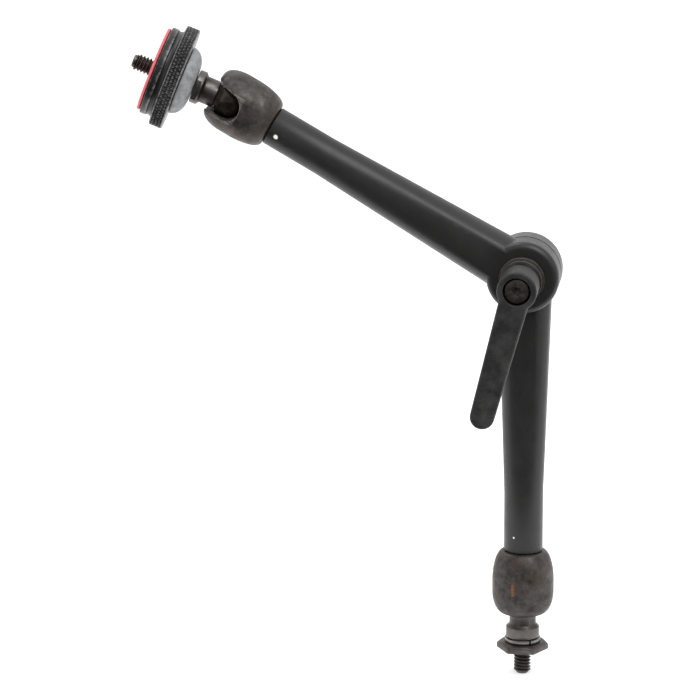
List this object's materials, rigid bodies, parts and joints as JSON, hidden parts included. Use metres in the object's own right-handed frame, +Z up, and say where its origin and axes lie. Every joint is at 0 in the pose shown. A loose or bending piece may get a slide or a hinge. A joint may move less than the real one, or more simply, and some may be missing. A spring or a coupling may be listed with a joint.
{
  "type": "articulated locking arm",
  "caption": "Two tapered black arms on a lapped elbow with a clamping lever, a slotted ball cup at each end, a jam-nutted stud below and a knurled camera wheel above.",
  "frame": {"origin": "on the lower stud's axis, in the plane of the jam nut's lower face", "axes": "+Z up the lower arm, +Y along the elbow axis away from the lever, upper arm leaning towards -X"},
  "size_m": [0.1558, 0.0513, 0.2421],
  "materials": {
    "anodised_black": "satin black anodised",
    "black_oxide": "worn black oxide, mottled",
    "stud_steel": "turned, darkened",
    "ball_steel": "dark polished",
    "bright_steel": "turned",
    "blasted_zinc": "matte light grey",
    "blackened_metal": "black, knurled",
    "red_rubber": "matte coral red",
    "powder_coat": "black wrinkle powder coat",
    "friction_fibre": "pressed fibre"
  },
  "bodies": {
    "base_stud": {"lower_stud_shank": "stud_steel"},
    "lock_washer": {"lower_lock_washer": "bright_steel"},
    "jam_nut": {"lower_jam_nut": "stud_steel"},
    "base_ball": {"lower_ball": "ball_steel"},
    "lower_cup": {"lower_cup": "black_oxide", "lower_cup_ring": "bright_steel"},
    "lower_arm": {"lower_arm": "anodised_black", "elbow_friction_disc": "friction_fibre"},
    "lower_rod": {"lower_push_rod": "bright_steel", "lower_ball_pad": "stud_steel"},
    "pivot_bolt": {"pivot_bolt": "stud_steel", "rear_wedge": "bright_steel"},
    "clamp_collar": {"thrust_washer": "bright_steel", "front_wedge": "bright_steel"},
    "clamp_insert": {"clamp_insert": "stud_steel", "lever_screw": "stud_steel", "lever_spring": "bright_steel"},
    "lever": {"lever": "powder_coat"},
    "upper_arm": {"upper_arm": "anodised_black"},
    "upper_rod": {"upper_push_rod": "bright_steel", "upper_ball_pad": "stud_steel"},
    "upper_cup": {"upper_cup": "black_oxide", "upper_cup_ring": "bright_steel"},
    "head_ball": {"upper_ball": "ball_steel"},
    "head_stud": {"upper_stud_shank": "stud_steel", "dome_disc": "blasted_zinc"},
    "friction_washer": {"friction_washer": "red_rubber"},
    "thumbwheel": {"thumbwheel": "blackened_metal"}
  },
  "joints": [
    {"name": "base_spin", "type": "hinge", "parent": "base_stud", "child": "base_ball", "pos_m": [0, 0, 0.0206], "axis": [0, 0, 1], "continuous": true},
    {"name": "base_tilt", "type": "hinge", "parent": "base_ball", "child": "lower_cup", "pos_m": [0, 0, 0.0206], "axis": [-1, 0, 0], "range_deg": [-18, 88]},
    {"name": "lower_arm_swivel", "type": "hinge", "parent": "lower_cup", "child": "lower_arm", "pos_m": [0, 0, 0.0206], "axis": [0, 0, 1], "continuous": true},
    {"name": "elbow", "type": "hinge", "parent": "lower_arm", "child": "upper_arm", "pos_m": [0, -0.0068, 0.1441], "axis": [0, 1, 0], "range_deg": [-36, 156]},
    {"name": "upper_cup_swivel", "type": "hinge", "parent": "upper_arm", "child": "upper_cup", "pos_m": [-0.10695, -0.0068, 0.20585], "axis": [-0.866, 0, 0.5], "continuous": true},
    {"name": "upper_tilt", "type": "hinge", "parent": "upper_cup", "child": "head_ball", "pos_m": [-0.10695, -0.0068, 0.20585], "axis": [0.3893, -0.0692, 0.9185], "range_deg": [-15, 82]},
    {"name": "head_spin", "type": "hinge", "parent": "head_ball", "child": "head_stud", "pos_m": [-0.10695, -0.0068, 0.20585], "axis": [-0.9193, -0.0924, 0.3827], "continuous": true},
    {"name": "clamp_turn", "type": "hinge", "parent": "clamp_collar", "child": "clamp_insert", "pos_m": [0, -0.015, 0.1441], "axis": [0, -1, 0], "range_deg": [0, 120]},
    {"name": "clamp_advance", "type": "slide", "parent": "lower_arm", "child": "clamp_collar", "axis": [0, -1, 0], "range_m": [0, 0.00016667]},
    {"name": "bolt_float", "type": "slide", "parent": "lower_arm", "child": "pivot_bolt", "axis": [0, 1, 0], "range_m": [0, 0.00016667]},
    {"name": "lower_rod_slide", "type": "slide", "parent": "lower_arm", "child": "lower_rod", "axis": [0, 0, 1], "range_m": [0, 0.000046053]},
    {"name": "upper_rod_slide", "type": "slide", "parent": "upper_arm", "child": "upper_rod", "axis": [0.866, 0, -0.5], "range_m": [0, 0.000046053]},
    {"name": "lever_lift", "type": "slide", "parent": "clamp_insert", "child": "lever", "axis": [0, -1, 0], "range_m": [0, 0.0024], "stiffness_N_per_m": 900, "springref_m": -0.002, "deforming": ["lever_spring"]},
    {"name": "wheel_advance", "type": "slide", "parent": "head_stud", "child": "friction_washer", "axis": [-0.9193, -0.0924, 0.3827], "range_m": [0, 0.00381]},
    {"name": "wheel_turn", "type": "hinge", "parent": "friction_washer", "child": "thumbwheel", "pos_m": [-0.10695, -0.0068, 0.20585], "axis": [-0.9193, -0.0924, 0.3827], "range_deg": [0, 1080]},
    {"name": "nut_advance", "type": "slide", "parent": "base_stud", "child": "lock_washer", "axis": [0, 0, -1], "range_m": [0, 0.00381]},
    {"name": "nut_turn", "type": "hinge", "parent": "lock_washer", "child": "jam_nut", "pos_m": [0, 0, 0], "axis": [0, 0, -1], "range_deg": [0, 1080]}
  ],
  "couplings": [
    {"joint": "clamp_advance", "follows": "clamp_turn", "m_per_rad": 0.000079577},
    {"joint": "bolt_float", "follows": "clamp_turn", "m_per_rad": 0.000079577},
    {"joint": "lower_rod_slide", "follows": "clamp_turn", "m_per_rad": 0.000021989},
    {"joint": "upper_rod_slide", "follows": "clamp_turn", "m_per_rad": 0.000021989},
    {"joint": "wheel_advance", "follows": "wheel_turn", "m_per_rad": 0.00020213},
    {"joint": "nut_advance", "follows": "nut_turn", "m_per_rad": 0.00020213}
  ]
}
